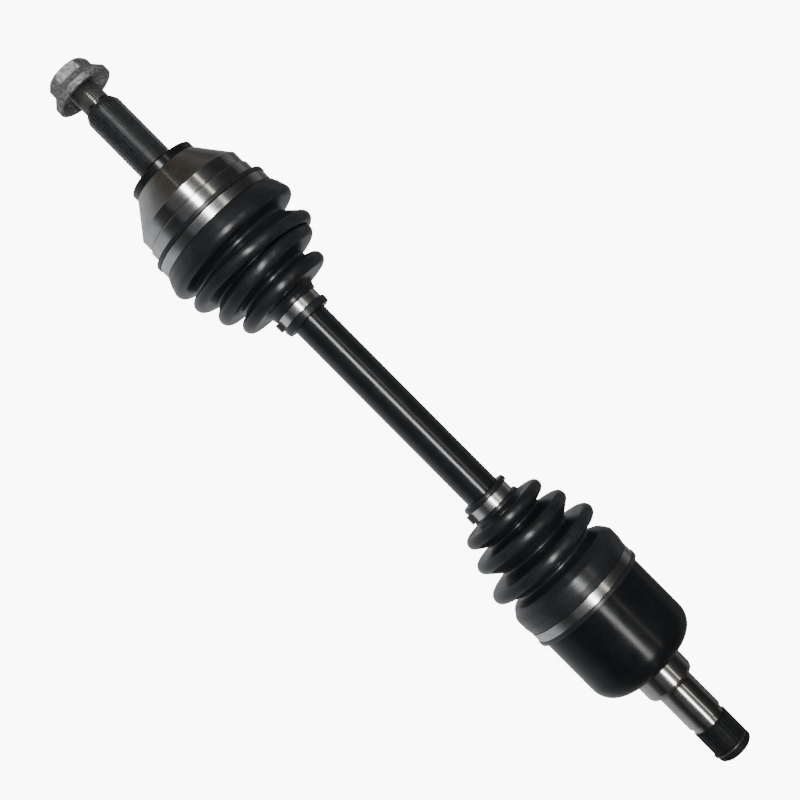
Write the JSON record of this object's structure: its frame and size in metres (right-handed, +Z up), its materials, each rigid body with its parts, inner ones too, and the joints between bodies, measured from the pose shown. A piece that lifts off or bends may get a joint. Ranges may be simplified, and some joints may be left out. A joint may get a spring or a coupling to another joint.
{
  "type": "cv axle",
  "caption": "Front half shaft: splined wheel-end ball joint with hub nut, solid bar, sliding tripod joint with splined stub, bellows boots with crimped bands.",
  "frame": {"origin": "on the shaft's axis, in the face of the shoulder that the wheel hub seats against", "axes": "+X along the shaft from the wheel end to the gearbox end; +Z up as it lies on a floor; the bar is level"},
  "size_m": [0.6364, 0.1036, 0.1036],
  "materials": {
    "black_steel": "gloss",
    "zinc_steel": "satin",
    "hardened_steel": "polished",
    "spring_steel": "satin",
    "boot_rubber": "satin",
    "clamp_steel": "polished"
  },
  "bodies": {
    "axle": {"axle_bar": "black_steel", "inner_race": "hardened_steel", "race_circlip": "spring_steel", "wheel_boot": "boot_rubber", "wheel_boot_small_clamp": "clamp_steel", "gear_boot_small_clamp": "clamp_steel", "tripod_spider": "hardened_steel", "spider_stop_ring": "spring_steel", "spider_circlip": "spring_steel", "needle_washer_1": "hardened_steel", "needle_washer_2": "hardened_steel", "needle_washer_3": "hardened_steel", "trunnion_ring_1": "spring_steel", "trunnion_ring_2": "spring_steel", "trunnion_ring_3": "spring_steel"},
    "wheel_ball_carrier_in": {"ball_1": "hardened_steel"},
    "wheel_cage": {"ball_cage": "hardened_steel", "ball_2": "hardened_steel", "ball_3": "hardened_steel", "ball_5": "hardened_steel", "ball_6": "hardened_steel"},
    "wheel_ball_carrier_out": {"ball_4": "hardened_steel"},
    "wheel_cup": {"wheel_joint_cup": "black_steel", "wheel_boot_large_clamp": "clamp_steel"},
    "nut_washer_body": {"nut_washer": "zinc_steel"},
    "nut_body": {"axle_nut": "zinc_steel"},
    "roller_1_body": {"roller_1": "hardened_steel", "needles_1": "hardened_steel"},
    "gear_boot_body": {"gear_boot": "boot_rubber"},
    "gear_housing": {"tripod_housing": "black_steel", "housing_stop_ring": "spring_steel", "gear_boot_large_clamp": "clamp_steel", "stub_circlip": "spring_steel"},
    "roller_2_body": {"roller_2": "hardened_steel", "needles_2": "hardened_steel"},
    "roller_3_body": {"roller_3": "hardened_steel", "needles_3": "hardened_steel"}
  },
  "joints": [
    {"name": "wheel_bend_z_inner", "type": "hinge", "parent": "axle", "child": "wheel_ball_carrier_in", "pos_m": [0.043, 0, 0], "axis": [0, 0, 1], "range_deg": [-16, 16], "deforming": ["wheel_boot"]},
    {"name": "wheel_bend_y_inner", "type": "hinge", "parent": "wheel_ball_carrier_in", "child": "wheel_cage", "pos_m": [0.043, 0, 0], "axis": [0, 1, 0], "range_deg": [-16, 16], "deforming": ["wheel_boot"]},
    {"name": "wheel_bend_y_outer", "type": "hinge", "parent": "wheel_cage", "child": "wheel_ball_carrier_out", "pos_m": [0.043, 0, 0], "axis": [0, 1, 0], "range_deg": [-16, 16], "deforming": ["wheel_boot"]},
    {"name": "wheel_bend_z_outer", "type": "hinge", "parent": "wheel_ball_carrier_out", "child": "wheel_cup", "pos_m": [0.043, 0, 0], "axis": [0, 0, 1], "range_deg": [-16, 16], "deforming": ["wheel_boot"]},
    {"name": "nut_travel", "type": "slide", "parent": "wheel_cup", "child": "nut_washer_body", "axis": [1, 0, 0], "range_m": [-0.00901, 0.01351]},
    {"name": "nut_turn", "type": "hinge", "parent": "nut_washer_body", "child": "nut_body", "pos_m": [-0.086, 0, 0], "axis": [1, 0, 0], "range_deg": [-2160, 3240]},
    {"name": "gearbox_bend_z", "type": "hinge", "parent": "axle", "child": "roller_1_body", "pos_m": [0.426, 0, 0], "axis": [0, 0, 1], "range_deg": [-14, 14], "deforming": ["gear_boot"]},
    {"name": "gearbox_bend_y", "type": "hinge", "parent": "roller_1_body", "child": "gear_boot_body", "pos_m": [0.426, 0, 0], "axis": [0, 1, 0], "range_deg": [-14, 14], "deforming": ["gear_boot"]},
    {"name": "plunge", "type": "slide", "parent": "gear_boot_body", "child": "gear_housing", "axis": [1, 0, 0], "range_m": [-0.012, 0.012], "deforming": ["gear_boot"]},
    {"name": "roller_2_spin", "type": "hinge", "parent": "axle", "child": "roller_2_body", "pos_m": [0.426, 0, 0], "axis": [0, -0.866, -0.5], "range_deg": [-50, 50]},
    {"name": "roller_3_spin", "type": "hinge", "parent": "axle", "child": "roller_3_body", "pos_m": [0.426, 0, 0], "axis": [0, 0.866, -0.5], "range_deg": [-50, 50]}
  ],
  "couplings": [
    {"joint": "wheel_bend_y_outer", "follows": "wheel_bend_y_inner", "ratio": 1},
    {"joint": "wheel_bend_z_outer", "follows": "wheel_bend_z_inner", "ratio": 1},
    {"joint": "nut_travel", "follows": "nut_turn", "m_per_rad": 0.00023873},
    {"joint": "roller_2_spin", "follows": "plunge", "rad_per_m": 68.97},
    {"joint": "roller_3_spin", "follows": "plunge", "rad_per_m": 68.97}
  ]
}
